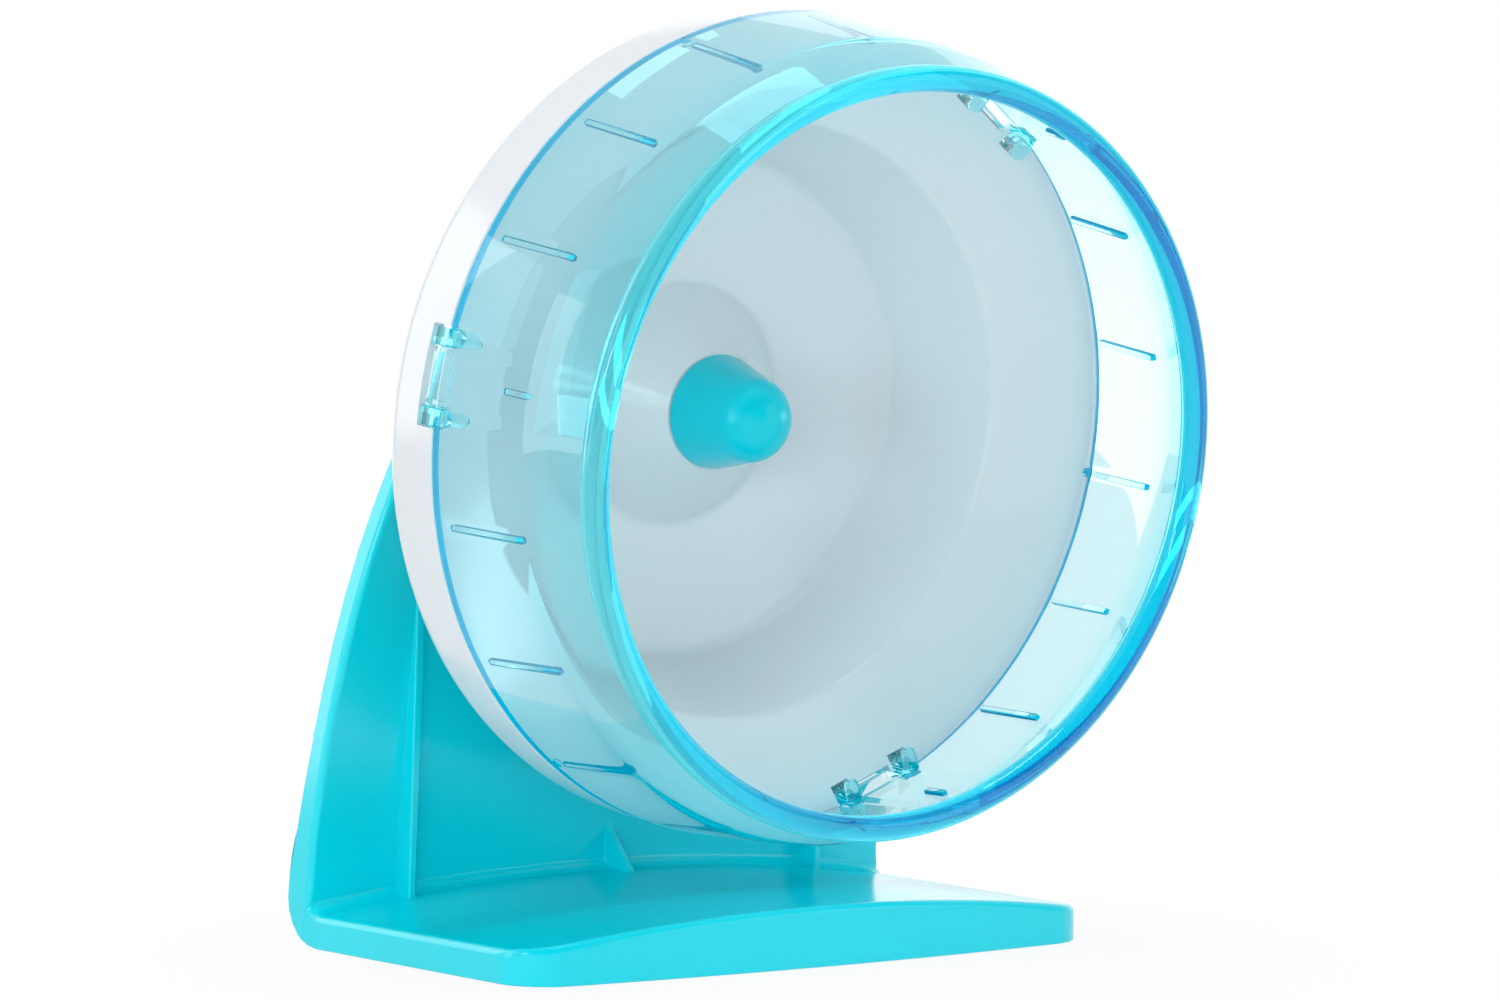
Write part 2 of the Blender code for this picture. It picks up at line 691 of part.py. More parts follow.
def wall_face(z):
    """Depth of the upright's front face at a height."""
    return WALL_FOOT - (z - FLOOR_TOP) * LEAN_SIN / LEAN_COS


def front_edge(x, half_width, inset):
    """Depth of the base's front edge: bowed, with rounded corners."""
    bowed = BASE_FRONT + inset + FRONT_BOW * (x / half_width) ** 2
    radius = FRONT_CORNER_RADIUS - inset
    into = abs(x) - (half_width - radius)
    if into <= 0:
        return bowed
    return bowed + radius - math.sqrt(max(radius**2 - into**2, 0))


def tapered(x, y):
    """Narrows the base evenly from the back foot to the front."""
    share = (BACK_FOOT - y) / (BACK_FOOT - BASE_FRONT)
    return x * (1 - share * BASE_TAPER / STAND_HALF_WIDTH)


def arch_height(x, inset=0.0):
    """Height of the upright's outline at a distance from its middle."""
    half, rise = STAND_HALF_WIDTH - inset, UPRIGHT_TOP - FLOOR_TOP - inset
    return FLOOR_TOP + rise * math.sqrt(max(1 - (x / half) ** 2, 0))


def base_mesh():
    """The arched floor with its rounded edges and the fillet up to the wall, as a solid."""
    sections = []
    flat = STAND_HALF_WIDTH - FRONT_CORNER_RADIUS
    stations = [flat * (2 * step / WIDTH_STEPS - 1) for step in range(WIDTH_STEPS + 1)]
    turn = [FRONT_CORNER_RADIUS * math.sin(math.radians(angle)) for angle in (20, 40, 58, 74, 90)]
    stations = [-flat - x for x in reversed(turn)] + stations + [flat + x for x in turn]
    for x in stations:
        into = max(abs(x) - (STAND_HALF_WIDTH - EDGE_ROUND), 0)
        top = crown_height(x) - EDGE_ROUND + math.sqrt(max(EDGE_ROUND**2 - into**2, 0))
        front = front_edge(x, STAND_HALF_WIDTH, 0)
        face = wall_face(top)
        bend = arc((front + EDGE_ROUND, top - EDGE_ROUND), EDGE_ROUND, 180, 90, ROUND_STEPS)
        fillet = arc((face - FLOOR_FILLET, top + FLOOR_FILLET), FLOOR_FILLET, -90, -8, ROUND_STEPS)
        outline = [(front, -OVERRUN), *bend, *fillet]
        outline.append((face + SHELL_WALL / 2, top + FLOOR_FILLET))
        outline.append((face + SHELL_WALL, -OVERRUN))
        sections.append([(tapered(x, y), y, z) for y, z in outline])
    return skinned("base", sections)


def arch_outline(inset):
    """Upright outline in its own plane, as (x, distance up the wall from the axle)."""
    points = []
    for step in range(ARCH_STEPS + 1):
        angle = math.pi * step / ARCH_STEPS
        half = STAND_HALF_WIDTH - inset
        rise = UPRIGHT_TOP - FLOOR_TOP - inset
        height = FLOOR_TOP + rise * math.sin(angle)
        points.append((half * math.cos(angle), (height - WALL_AXLE_HEIGHT) / LEAN_COS))
    foot = (-OVERRUN - WALL_AXLE_HEIGHT) / LEAN_COS - OVERRUN
    return [(STAND_HALF_WIDTH - inset, foot), *points, (-STAND_HALF_WIDTH + inset, foot)]


def wall_frame():
    """The upright's plane: X across, Y up the wall, Z forward, origin where the axle meets it."""
    turn = Matrix.Rotation(math.radians(90.0) + AXLE_LEAN, 4, "X")
    return Matrix.Translation((0, -WALL_FACE_PLACE * LEAN_COS, WALL_AXLE_HEIGHT)) @ turn


def skirt_depth(z):
    """Depth of the upright's side skirt, which flares backwards towards the foot."""
    share = 1 - max(z - BACK_CORNER_RADIUS, 0) / SKIRT_FLARE_HEIGHT
    return SKIRT_DEPTH + SKIRT_FLARE * max(share, 0) ** 2


def upright_mesh():
    """The leaning plate with a rounded front edge."""
    rows = [(0.0, -EDGE_ROUND)]
    for angle in (45, 90):
        turn = math.radians(angle)
        rows.append((EDGE_ROUND * (1 - math.cos(turn)), EDGE_ROUND * (math.sin(turn) - 1)))
    frame = wall_frame()
    back = []
    for x, y in arch_outline(0):
        height = WALL_AXLE_HEIGHT + y * LEAN_COS
        back.append(frame @ Vector((x, y, -skirt_depth(height))))
    sections = [back]
    for inset, depth in rows:
        sections.append([frame @ Vector((x, y, depth)) for x, y in arch_outline(inset)])
    return skinned("upright", sections)


def channel(low, high):
    """A hollow behind the wall and under the floor, between two places across the width."""
    sections = []
    count = WIDTH_STEPS // 2
    limit = STAND_HALF_WIDTH - SHELL_WALL
    start, end = (math.asin(max(min(x / limit, 1), -1)) for x in (low, high))
    for step in range(count + 1):
        x = limit * math.sin(start + (end - start) * step / count)
        top = crown_height(x) - SHELL_WALL
        front = front_edge(x, limit, SHELL_WALL)
        crest = max(arch_height(x, SHELL_WALL), top + FLOOR_FILLET + SHELL_WALL)
        corner = FLOOR_FILLET + SHELL_WALL
        face = wall_face(top) + SHELL_WALL
        bend = arc((face - corner, top + corner), corner, -90, -8, ROUND_STEPS)
        outline = [(front, -OVERRUN * 2), (front, top), *bend]
        outline.append((wall_face(crest) + SHELL_WALL, crest))
        outline.append((wall_face(crest) + SHELL_WALL + 2 * SKIRT_DEPTH, crest))
        outline.append((BACK_FOOT + 2 * SKIRT_DEPTH, -OVERRUN * 2))
        sections.append([(tapered(x, y), y, z) for y, z in outline])
    return skinned("channel", sections)


def front_rib(x):
    """A tall web that grows deeper towards the floor."""
    foot = crown_height(x) - SHELL_WALL / 2
    top = crown_height(x) + FRONT_RIB_HEIGHT
    inside = SHELL_WALL / 2
    outline = [
        (wall_face(foot) + inside, foot),
        (wall_face(foot) - FRONT_RIB_DEPTH, foot),
        (wall_face(top), top),
        (wall_face(top) + inside, top),
    ]
    return across("front_rib", outline, x, FRONT_RIB_WIDTH)


def gusset():
    """The small triangle between floor and wall in the middle."""
    foot = FLOOR_TOP - SHELL_WALL / 2
    inside = SHELL_WALL / 2
    outline = [
        (wall_face(foot) + inside, foot),
        (wall_face(FLOOR_TOP) - GUSSET_DEPTH, foot),
        (wall_face(FLOOR_TOP) - GUSSET_DEPTH, FLOOR_TOP),
        (wall_face(FLOOR_TOP + GUSSET_HEIGHT), FLOOR_TOP + GUSSET_HEIGHT),
        (wall_face(FLOOR_TOP + GUSSET_HEIGHT) + inside, FLOOR_TOP + GUSSET_HEIGHT),
    ]
    return across("gusset", outline, 0, GUSSET_WIDTH)


def across(name, outline, x, width):
    """Extrudes a side outline of (y, z) points across the width, centred on x."""
    turn = Matrix(((0, 0, 1, 0), (1, 0, 0, 0), (0, 1, 0, 0), (0, 0, 0, 1)))
    return prism(name, outline, x - width / 2, x + width / 2, turn)


def below():
    """All that lies under the base and outside its rounded lower back corner."""
    radius = BACK_CORNER_RADIUS
    near, far = BASE_FRONT - OVERRUN, BACK_FOOT + 2 * SKIRT_DEPTH
    outline = [(near, -OVERRUN * 3), (near, 0), *arc((BACK_FOOT - radius, radius), radius, -90, 0, 5)]
    outline += [(far, radius), (far, -OVERRUN * 3)]
    return across("below", outline, 0, 2 * (STAND_HALF_WIDTH + OVERRUN))


def boss_profile():
    """The axle boss: a flared post in front of the wall and a collar behind it."""
    tip = INNER_RACE_BORE + BOSS_TIP_WALL
    collar = REAR_WASHER_RADIUS + SEAT_GAP + REAR_BOSS_WALL
    length = BOSS_TIP_PLACE - WALL_FACE_PLACE
    post = arc(
        (tip + BOSS_FOOT_FLARE, WALL_FACE_PLACE + BOSS_FOOT_FLARE),
        BOSS_FOOT_FLARE,
        -78,
        -180,
        ROUND_STEPS + 1,
    )
    middle = WALL_FACE_PLACE - SHELL_WALL / 2
    shape = [(0, WALL_BACK_PLACE), (collar, WALL_BACK_PLACE), (collar, middle)]
    shape += [(tip + BOSS_FOOT_FLARE, middle), *post]
    shape += [(tip, WALL_FACE_PLACE + length), (0, WALL_FACE_PLACE + length)]
    return shape


def bolt_way():
    """The bolt's bore and the counterbore for its washer and head."""
    low, high = WALL_BACK_PLACE - OVERRUN, BOSS_TIP_PLACE + OVERRUN
    wide = REAR_WASHER_RADIUS + SEAT_GAP
    return [
        (0, low),
        (wide, low),
        (wide, COUNTERBORE_PLACE),
        (INNER_RACE_BORE, COUNTERBORE_PLACE),
        (INNER_RACE_BORE, high),
        (0, high),
    ]


def make_stand():
    """Base and upright in one moulding, hollow behind and below."""
    axle = Matrix.Translation((0, 0, AXLE_HEIGHT)) @ Matrix.Rotation(
        math.radians(90.0) + AXLE_LEAN, 4, "X"
    )
    mesh = combined(base_mesh(), upright_mesh(), "UNION")
    mesh = combined(mesh, below(), "DIFFERENCE", True)
    ribs = [-BACK_RIB_PITCH, 0.0, BACK_RIB_PITCH]
    edges = [-STAND_HALF_WIDTH + SHELL_WALL]
    for x in ribs:
        edges += [x - BACK_RIB_WIDTH / 2, x + BACK_RIB_WIDTH / 2]
    edges.append(STAND_HALF_WIDTH - SHELL_WALL)
    hollows = [channel(low, high) for low, high in zip(edges[::2], edges[1::2])]
    mesh = combined(mesh, joined("hollows", hollows), "DIFFERENCE", True)
    webs = [front_rib(-FRONT_RIB_OFFSET), front_rib(FRONT_RIB_OFFSET), gusset()]
    mesh = combined(mesh, joined("webs", webs), "UNION", True)
    boss = turned("boss", boss_profile(), SMALL_TURN_STEPS)
    boss.transform(axle)
    mesh = combined(mesh, boss, "UNION", True)
    way = turned("way", bolt_way(), SMALL_TURN_STEPS)
    way.transform(axle)
    return combined(mesh, way, "DIFFERENCE", True)


def main():
    for old in list(bpy.data.objects):
        bpy.data.objects.remove(old)

    turquoise = make_material("turquoise_plastic", (0.0, 0.55, 0.65), 0.18)
    white = make_material("white_plastic", (0.85, 0.87, 0.88), 0.25)
    clear_blue = make_material("clear_blue_plastic", (0.35, 0.80, 0.95), 0.03, transmission=0.9)
    steel = make_material("steel", (0.60, 0.61, 0.63), 0.25, metallic=1.0)
    zinc = make_material("zinc_plated_steel", (0.66, 0.67, 0.68), 0.35, metallic=1.0)
    nylon = make_material("nylon", (0.82, 0.80, 0.74), 0.45)

    assembly = bpy.data.objects.new("assembly", None)
    bpy.context.collection.objects.link(assembly)
    assembly.location = (0, MODEL_SHIFT, 0)
    axle = bpy.data.objects.new("axle_line", None)
    bpy.context.collection.objects.link(axle)
    axle.parent = assembly
    axle.location = (0, 0, AXLE_HEIGHT)
    axle.rotation_euler = (math.radians(90.0) + AXLE_LEAN, 0, 0)

    place("stand", make_stand(), turquoise, assembly)
    place("axle_bolt", make_bolt(), zinc, axle)
    rear_washer = ring(
        "rear_washer", INNER_RACE_BORE, REAR_WASHER_RADIUS, REAR_WASHER_REAR, REAR_WASHER_FRONT
    )
    place("rear_washer", rear_washer, zinc, axle)
    spacer = ring(
        "spacer_bush", INNER_RACE_BORE, INNER_RACE_BORE + SPACER_WALL, SPACER_REAR, SPACER_FRONT
    )
    place("spacer_bush", spacer, nylon, axle)
    inner_race = turned(
        "bearing_inner_race", race_profile(INNER_SHOULDER, INNER_RACE_BORE), SMALL_TURN_STEPS
    )
    place("bearing_inner_race", inner_race, steel, axle)
    outer_race = turned(
        "bearing_outer_race", race_profile(OUTER_SHOULDER, BEARING_RADIUS), SMALL_TURN_STEPS
    )
    place("bearing_outer_race", outer_race, steel, axle)
    place("bearing_cage", make_cage(), nylon, axle)
    for index in range(BALL_COUNT):
        name = f"bearing_ball_{index + 1}"
        ball = place(name, make_ball(name), steel, axle)
        angle = 2 * math.pi * index / BALL_COUNT
        ball.location = (
            PITCH_RADIUS * math.cos(angle),
            PITCH_RADIUS * math.sin(angle),
            BEARING_MIDDLE,
        )
    shield_inner, shield_outer = INNER_SHOULDER + AXLE_FIT, OUTER_SHOULDER - AXLE_FIT
    shield_front = RACE_FRONT - SHIELD_INSET
    shield_rear = RACE_REAR + SHIELD_INSET
    front_shield = ring(
        "front_shield", shield_inner, shield_outer, shield_front - SHIELD_THICKNESS, shield_front
    )
    place("front_shield", front_shield, steel, axle)
    rear_shield = ring(
        "rear_shield", shield_inner, shield_outer, shield_rear, shield_rear + SHIELD_THICKNESS
    )
    place("rear_shield", rear_shield, steel, axle)
    place("bearing_clip", make_clip_ring(), zinc, axle)
    front_washer = ring(
        "front_washer", INNER_RACE_BORE, INNER_RACE_BORE + WASHER_WALL, WASHER_REAR, WASHER_FRONT
    )
    place("front_washer", front_washer, zinc, axle)
    place("lock_nut", make_nut(), zinc, axle)
    place("back_disc", make_disc(), white, axle)
    place("running_drum", make_drum(), clear_blue, axle)
    place("hub_cap", turned("hub_cap", cap_profile(), SMALL_TURN_STEPS), turquoise, axle)


main()
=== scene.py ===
import math

import bmesh
import bpy
from mathutils import Matrix, Vector


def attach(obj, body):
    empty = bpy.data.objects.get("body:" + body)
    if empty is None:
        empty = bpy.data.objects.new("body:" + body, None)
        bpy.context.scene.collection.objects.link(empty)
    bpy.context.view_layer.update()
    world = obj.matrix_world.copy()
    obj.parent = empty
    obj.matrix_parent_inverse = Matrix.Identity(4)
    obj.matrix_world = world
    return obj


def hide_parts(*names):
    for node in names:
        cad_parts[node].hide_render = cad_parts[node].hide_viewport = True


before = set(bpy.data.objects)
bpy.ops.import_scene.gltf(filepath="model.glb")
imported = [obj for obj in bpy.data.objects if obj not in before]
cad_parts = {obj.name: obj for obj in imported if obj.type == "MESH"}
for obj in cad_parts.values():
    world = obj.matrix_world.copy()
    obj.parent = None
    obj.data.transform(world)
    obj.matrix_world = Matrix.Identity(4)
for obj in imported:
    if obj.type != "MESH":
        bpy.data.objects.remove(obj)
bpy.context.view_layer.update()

# The wheel's shapes are drawn in millimetres about the Z axis, then moved to the leaning axle.
MM = 0.001
LEAN = math.radians(7.0)  # dip of the axle towards the front
HUB = Vector((0.0, -0.007642, 0.089078))  # where the axle crosses the drum's rear edge
AXLE = Matrix.Translation(HUB) @ Matrix.Rotation(math.radians(90.0) + LEAN, 4, "X")
FORWARD = AXLE.to_3x3() @ Vector((0, 0, 1))

PHASE = math.radians(-6.9)  # turn of the first grip bar
BARS = 18
BAR_STEP = 20.0
CLIP_BARS = (3, 9, 15)  # the short grip bars, one at each snap joint
PIP_TURN = 60.0  # from a snap joint to the next moulding pip

SHARP = math.radians(32.0)  # edges above this angle are shaded sharp
RING_STEPS = 216
BEAD_STEPS = 288
CAP_STEPS = 96
PROFILE_STEPS = 14


# Mesh helpers. Profiles are lists of (radius, place along the axle).


def on_scene(name, data):
    piece = bpy.data.objects.new(name, data)
    bpy.context.scene.collection.objects.link(piece)
    return piece


def as_mesh(name, work):
    mesh = bpy.data.meshes.new(name)
    work.to_mesh(mesh)
    work.free()
    return mesh


def finish_mesh(name, work, matrix=None, scale=True):
    if scale:
        bmesh.ops.scale(work, vec=(MM, MM, MM), verts=work.verts)
    if matrix is not None:
        bmesh.ops.transform(work, matrix=matrix, verts=work.verts)
    bmesh.ops.recalc_face_normals(work, faces=work.faces)
    mesh = as_mesh(name, work)
    mesh.shade_smooth()
    mesh.set_sharp_from_angle(angle=SHARP)
    return on_scene(name, mesh)


def move_to_axle(piece):
    piece.data.transform(AXLE)
    piece.data.shade_smooth()
    piece.data.set_sharp_from_angle(angle=SHARP)
    return piece


def rounded(points, steps=5):
    """A closed outline whose corners (r, a, radius) are rounded by arcs."""
    nearly_straight = math.pi / 2 - 0.02
    most_of_side = 0.49
    out = []
    count = len(points)
    for i in range(count):
        r, a, radius = points[i]
        here = Vector((r, a))
        if radius == 0:
            out.append((r, a))
            continue
        before = Vector(points[i - 1][:2]) - here
        after = Vector(points[(i + 1) % count][:2]) - here
        cos_angle = max(-1.0, min(1.0, before.normalized().dot(after.normalized())))
        half = math.acos(cos_angle) / 2
        if half > nearly_straight:
            out.append((r, a))
            continue
        cut = radius / math.tan(half)
        limit = most_of_side * min(before.length, after.length)
        if cut > limit:
            cut = limit
            radius = cut * math.tan(half)
        start = here + before.normalized() * cut
        end = here + after.normalized() * cut
        inward = (before.normalized() + after.normalized()).normalized()
        centre = here + inward * (radius / math.sin(half))
        u, v = start - centre, end - centre
        turn = math.atan2(u.x * v.y - u.y * v.x, u.dot(v))
        n = max(2, min(steps * 2, int(abs(turn) / math.radians(90) * steps * 2)))
        for k in range(n + 1):
            cos, sin = math.cos(turn * k / n), math.sin(turn * k / n)
            p = centre + Vector((u.x * cos - u.y * sin, u.x * sin + u.y * cos))
            out.append((p.x, p.y))
    return out


def arc(cx, cy, radius, start, end, steps):
    out = []
    for k in range(steps + 1):
        t = math.radians(start + (end - start) * k / steps)
        out.append((cx + radius * math.cos(t), cy + radius * math.sin(t)))
    return out


def offset_line(start, end, distance):
    along = (Vector(end) - Vector(start)).normalized()
    side = Vector((along.y, -along.x)) * distance
    return Vector(start) + side, Vector(end) + side


def meeting(first, second):
    """The point where two lines cross."""
    (a, b), (c, d) = first, second
    u, v = b - a, d - c
    share = ((c - a).x * v.y - (c - a).y * v.x) / (u.x * v.y - u.y * v.x)
    return tuple(a + u * share)


def lathe(work, outline, steps, phase=0.0):
    rings = []
    for s in range(steps):
        angle = phase + 2 * math.pi * s / steps
        ring = []
        for i, (r, a) in enumerate(outline):
            if r == 0 and s:
                ring.append(rings[0][i])
            else:
                ring.append(work.verts.new((r * math.cos(angle), r * math.sin(angle), a)))
        rings.append(ring)
    n = len(outline)
    for s in range(steps):
        here, there = rings[s], rings[(s + 1) % steps]
        for i in range(n):
            j = (i + 1) % n
            unique = list(dict.fromkeys([here[i], here[j], there[j], there[i]]))
            if len(unique) > 2:
                work.faces.new(unique)


def skin(work, rows):
    """Joins rows of vertices into a closed tube with flat ends."""
    n = len(rows[0])
    for here, there in zip(rows, rows[1:]):
        for i in range(n):
            j = (i + 1) % n
            work.faces.new((here[i], here[j], there[j], there[i]))
    work.faces.new(rows[0])
    work.faces.new(rows[-1])


def prism(work, outline, low, high, matrix=None):
    floor = [work.verts.new((x, y, low)) for x, y in outline]
    roof = [work.verts.new((x, y, high)) for x, y in outline]
    work.faces.new(floor)
    work.faces.new(roof)
    n = len(outline)
    for i in range(n):
        j = (i + 1) % n
        work.faces.new((floor[i], floor[j], roof[j], roof[i]))
    if matrix is not None:
        bmesh.ops.transform(work, matrix=matrix, verts=floor + roof)


def boolean(body, work, operation):
    """Applies the exact Boolean of an object with the shapes in a bmesh (millimetres)."""
    bmesh.ops.scale(work, vec=(MM, MM, MM), verts=work.verts)
    bmesh.ops.recalc_face_normals(work, faces=work.faces)
    tool = on_scene("tool", as_mesh("tool", work))
    modifier = body.modifiers.new("cut", "BOOLEAN")
    modifier.operation = operation
    modifier.solver = "EXACT"
    modifier.use_self = True
    modifier.object = tool
    bpy.context.view_layer.update()
    graph = bpy.context.evaluated_depsgraph_get()
    result = bpy.data.meshes.new_from_object(body.evaluated_get(graph))
    body.modifiers.clear()
    old = body.data
    body.data = result
    bpy.data.meshes.remove(old)
    bpy.data.objects.remove(tool)


def merge_slivers(body):
    """Merges the slivers that a Boolean leaves."""
    reach = 0.004 * MM
    work = bmesh.new()
    work.from_mesh(body.data)
    bmesh.ops.remove_doubles(work, verts=work.verts, dist=reach)
    bmesh.ops.dissolve_degenerate(work, edges=work.edges, dist=reach)
    work.to_mesh(body.data)
    work.free()


def on_wheel(degrees):
    return Matrix.Rotation(math.radians(degrees), 4, "Z")


def bar_angle(k):
    return math.degrees(PHASE) + BAR_STEP * k


CLIP_ANGLES = [bar_angle(k) for k in CLIP_BARS]


# Materials


def new_material(name):
    material = bpy.data.materials.new(name)
    material.use_nodes = True
    nodes, links = material.node_tree.nodes, material.node_tree.links
    nodes.clear()
    out = nodes.new("ShaderNodeOutputMaterial")
    shader = nodes.new("ShaderNodeBsdfPrincipled")
    links.new(shader.outputs["BSDF"], out.inputs["Surface"])
    return material, nodes, links, shader, out


def noise(nodes, links, scale, detail=2.0):
    """Noise that stays with the object."""
    where = nodes.new("ShaderNodeTexCoord")
    texture = nodes.new("ShaderNodeTexNoise")
    texture.inputs["Scale"].default_value = scale
    texture.inputs["Detail"].default_value = detail
    links.new(where.outputs["Object"], texture.inputs["Vector"])
    return texture.outputs["Fac"]


def tint(nodes, links, value, shader, low, high, start=0.0, end=1.0):
    """Base colour between two colours, by a value."""
    ramp = nodes.new("ShaderNodeValToRGB")
    first, last = ramp.color_ramp.elements
    first.position, last.position = start, end
    first.color, last.color = (*low, 1.0), (*high, 1.0)
    links.new(value, ramp.inputs["Fac"])
    links.new(ramp.outputs["Color"], shader.inputs["Base Color"])


def vary_roughness(nodes, links, value, shader, low, high):
    spread = nodes.new("ShaderNodeMapRange")
    spread.inputs["To Min"].default_value = low
    spread.inputs["To Max"].default_value = high
    links.new(value, spread.inputs["Value"])
    links.new(spread.outputs["Result"], shader.inputs["Roughness"])


def smooth_step(nodes, links, value, start, end, low=0.0, high=1.0):
    """Goes smoothly from low to high while the value goes from start to end."""
    step = nodes.new("ShaderNodeMapRange")
    step.interpolation_type = "SMOOTHSTEP"
    step.inputs["From Min"].default_value = start
    step.inputs["From Max"].default_value = end
    step.inputs["To Min"].default_value = low
    step.inputs["To Max"].default_value = high
    links.new(value, step.inputs["Value"])
    return step.outputs["Result"]


def along(nodes, links, place, direction):
    """How far a place lies along a direction."""
    product = nodes.new("ShaderNodeVectorMath")
    product.operation = "DOT_PRODUCT"
    product.inputs[1].default_value = direction
    links.new(place, product.inputs[0])
    return product.outputs["Value"]


def any_ray(nodes, links, path, *kinds):
    """One for rays of the named kinds, otherwise zero."""
    result = path.outputs[kinds[0]]
    for kind in kinds[1:]:
        either = nodes.new("ShaderNodeMath")
        either.operation = "MAXIMUM"
        links.new(result, either.inputs[0])
        links.new(path.outputs[kind], either.inputs[1])
        result = either.outputs[0]
    return result


def mixed(nodes, links, share, first, second):
    mix = nodes.new("ShaderNodeMixShader")
    links.new(share, mix.inputs["Fac"])
    links.new(first, mix.inputs[1])
    links.new(second, mix.inputs[2])
    return mix.outputs["Shader"]


def moulded(name, colour, deep, roughness, specular=0.5, subsurface=0.0):
    """Glossy moulded plastic: faint flow variation in colour and a slight long-wave surface."""
    material, nodes, links, shader, _ = new_material(name)
    flow = noise(nodes, links, scale=22.0)
    fine = noise(nodes, links, scale=70.0, detail=3.0)
    tint(nodes, links, flow, shader, deep, colour, start=0.30, end=0.72)
    vary_roughness(nodes, links, fine, shader, roughness * 0.85, roughness * 1.2)
    bump = nodes.new("ShaderNodeBump")
    bump.inputs["Distance"].default_value = 0.02 * MM
    bump.inputs["Strength"].default_value = 0.5
    links.new(fine, bump.inputs["Height"])
    links.new(bump.outputs["Normal"], shader.inputs["Normal"])
    shader.inputs["Specular IOR Level"].default_value = specular
    shader.inputs["Subsurface Weight"].default_value = subsurface
    shader.inputs["Subsurface Radius"].default_value = (0.4, 0.8, 1.0)
    shader.inputs["Subsurface Scale"].default_value = 4.0 * MM
    return material


def deepen_to_front(nodes, links, shader, deep):
    """Tints the plastic more towards the drum's front shoulder, where the wall curves in."""
    shoulder = (16.0 * MM, 27.0 * MM)
    where = nodes.new("ShaderNodeTexCoord")
    place = along(nodes, links, where.outputs["Object"], FORWARD)
    start, end = [HUB.dot(FORWARD) + reach for reach in shoulder]
    share = smooth_step(nodes, links, place, start, end)
    tint(nodes, links, share, shader, (1.0, 1.0, 1.0), deep)


def clear_plastic(name, absorb, density, bending=1.5, deep_front=None):
    """Clear tinted plastic that lets lamp light through to what is inside. Rays that have
    reflected twice in the wall meet a matt surface in the plastic's deep colour: a painted glow
    for the light that stays in the wall."""
    material, nodes, links, shader, out = new_material(name)
    shader.inputs["Base Color"].default_value = (1.0, 1.0, 1.0, 1.0)
    if deep_front:
        deepen_to_front(nodes, links, shader, deep_front)
    shader.inputs["Roughness"].default_value = 0.0
    shader.inputs["IOR"].default_value = bending
    shader.inputs["Transmission Weight"].default_value = 1.0
    path = nodes.new("ShaderNodeLightPath")
    # Painted glow: a matt deep colour where rays have reflected twice inside the wall.
    painted_wall_glow = nodes.new("ShaderNodeBsdfDiffuse")
    painted_wall_glow.inputs["Color"].default_value = (0.0, 0.97, 0.98, 1.0)
    deep = nodes.new("ShaderNodeMath")
    deep.operation = "GREATER_THAN"
    deep.inputs[1].default_value = 1.5  # reflections
    links.new(path.outputs["Glossy Depth"], deep.inputs[0])
    inner = mixed(nodes, links, deep.outputs[0], shader.outputs["BSDF"], painted_wall_glow.outputs["BSDF"])
    lamp_light = any_ray(nodes, links, path, "Is Shadow Ray", "Is Diffuse Ray")
    clear = nodes.new("ShaderNodeBsdfTransparent")
    surface = mixed(nodes, links, lamp_light, inner, clear.outputs["BSDF"])
    links.new(surface, out.inputs["Surface"])
    volume = nodes.new("ShaderNodeVolumeAbsorption")
    volume.inputs["Color"].default_value = (*absorb, 1.0)
    volume.inputs["Density"].default_value = density
    links.new(volume.outputs["Volume"], out.inputs["Volume"])
    return material


def painted_light_edge(name, colour):
    """Opaque colour for edges of the tinted plastic, painted light: a bright colour paints the
    glow where the light that runs inside the wall comes out at a cut edge, a dark one paints a
    dark outline.
    """
    material, nodes, links, shader, _ = new_material(name)
    cloud = noise(nodes, links, scale=60.0)
    darker = [c * 0.85 for c in colour]
    tint(nodes, links, cloud, shader, darker, colour, start=0.35, end=0.65)
    shader.inputs["Roughness"].default_value = 0.3
    shader.inputs["Specular IOR Level"].default_value = 0.1
    return material


def metal(name, colour, roughness, scale):
    """Metal with fine turned or plated variation."""
    material, nodes, links, shader, _ = new_material(name)
    grain = noise(nodes, links, scale, detail=4.0)
    tint(nodes, links, grain, shader, [c * 0.82 for c in colour], colour)
    vary_roughness(nodes, links, grain, shader, roughness * 0.7, roughness * 1.3)
    shader.inputs["Metallic"].default_value = 1.0
    return material


TURQUOISE = moulded("turquoise_moulding", (0.0, 0.76, 0.88), (0.0, 0.74, 0.86), 0.18)
CAP_BLUE = moulded("turquoise_cap", (0.0, 0.66, 0.79), (0.0, 0.64, 0.77), 0.20, specular=0.3)
WHITE = moulded("white_moulding", (0.77, 0.81, 0.845), (0.755, 0.795, 0.83), 0.16)
CLEAR = clear_plastic(
    "clear_blue_moulding", (0.0, 0.865, 0.978), 165.0, deep_front=(0.78, 1.0, 1.0)
)
# Painted glow: opaque saturated blue on the drum's cut rear edge and on the hooks' bevels.
EDGE = painted_light_edge("clear_blue_edge_painted_glow", (0.0, 0.60, 0.86))
# Painted shade: a dark opaque blue outline on the flanks of the clear grip bars.
BAR_EDGE = painted_light_edge("clear_blue_bar_edge_painted_shade", (0.0, 0.32, 0.50))
BEAD = clear_plastic("clear_blue_bead", (0.0, 0.95, 0.99), 300.0)
CLIP = clear_plastic("clear_blue_clip", (0.0, 0.93, 0.99), 150.0, bending=1.14)
STEEL = metal("bearing_steel", (0.62, 0.63, 0.65), 0.22, 900.0)
ZINC = metal("zinc_plate", (0.66, 0.67, 0.69), 0.34, 500.0)
NYLON = moulded("natural_nylon", (0.80, 0.77, 0.70), (0.76, 0.73, 0.66), 0.45, subsurface=0.2)

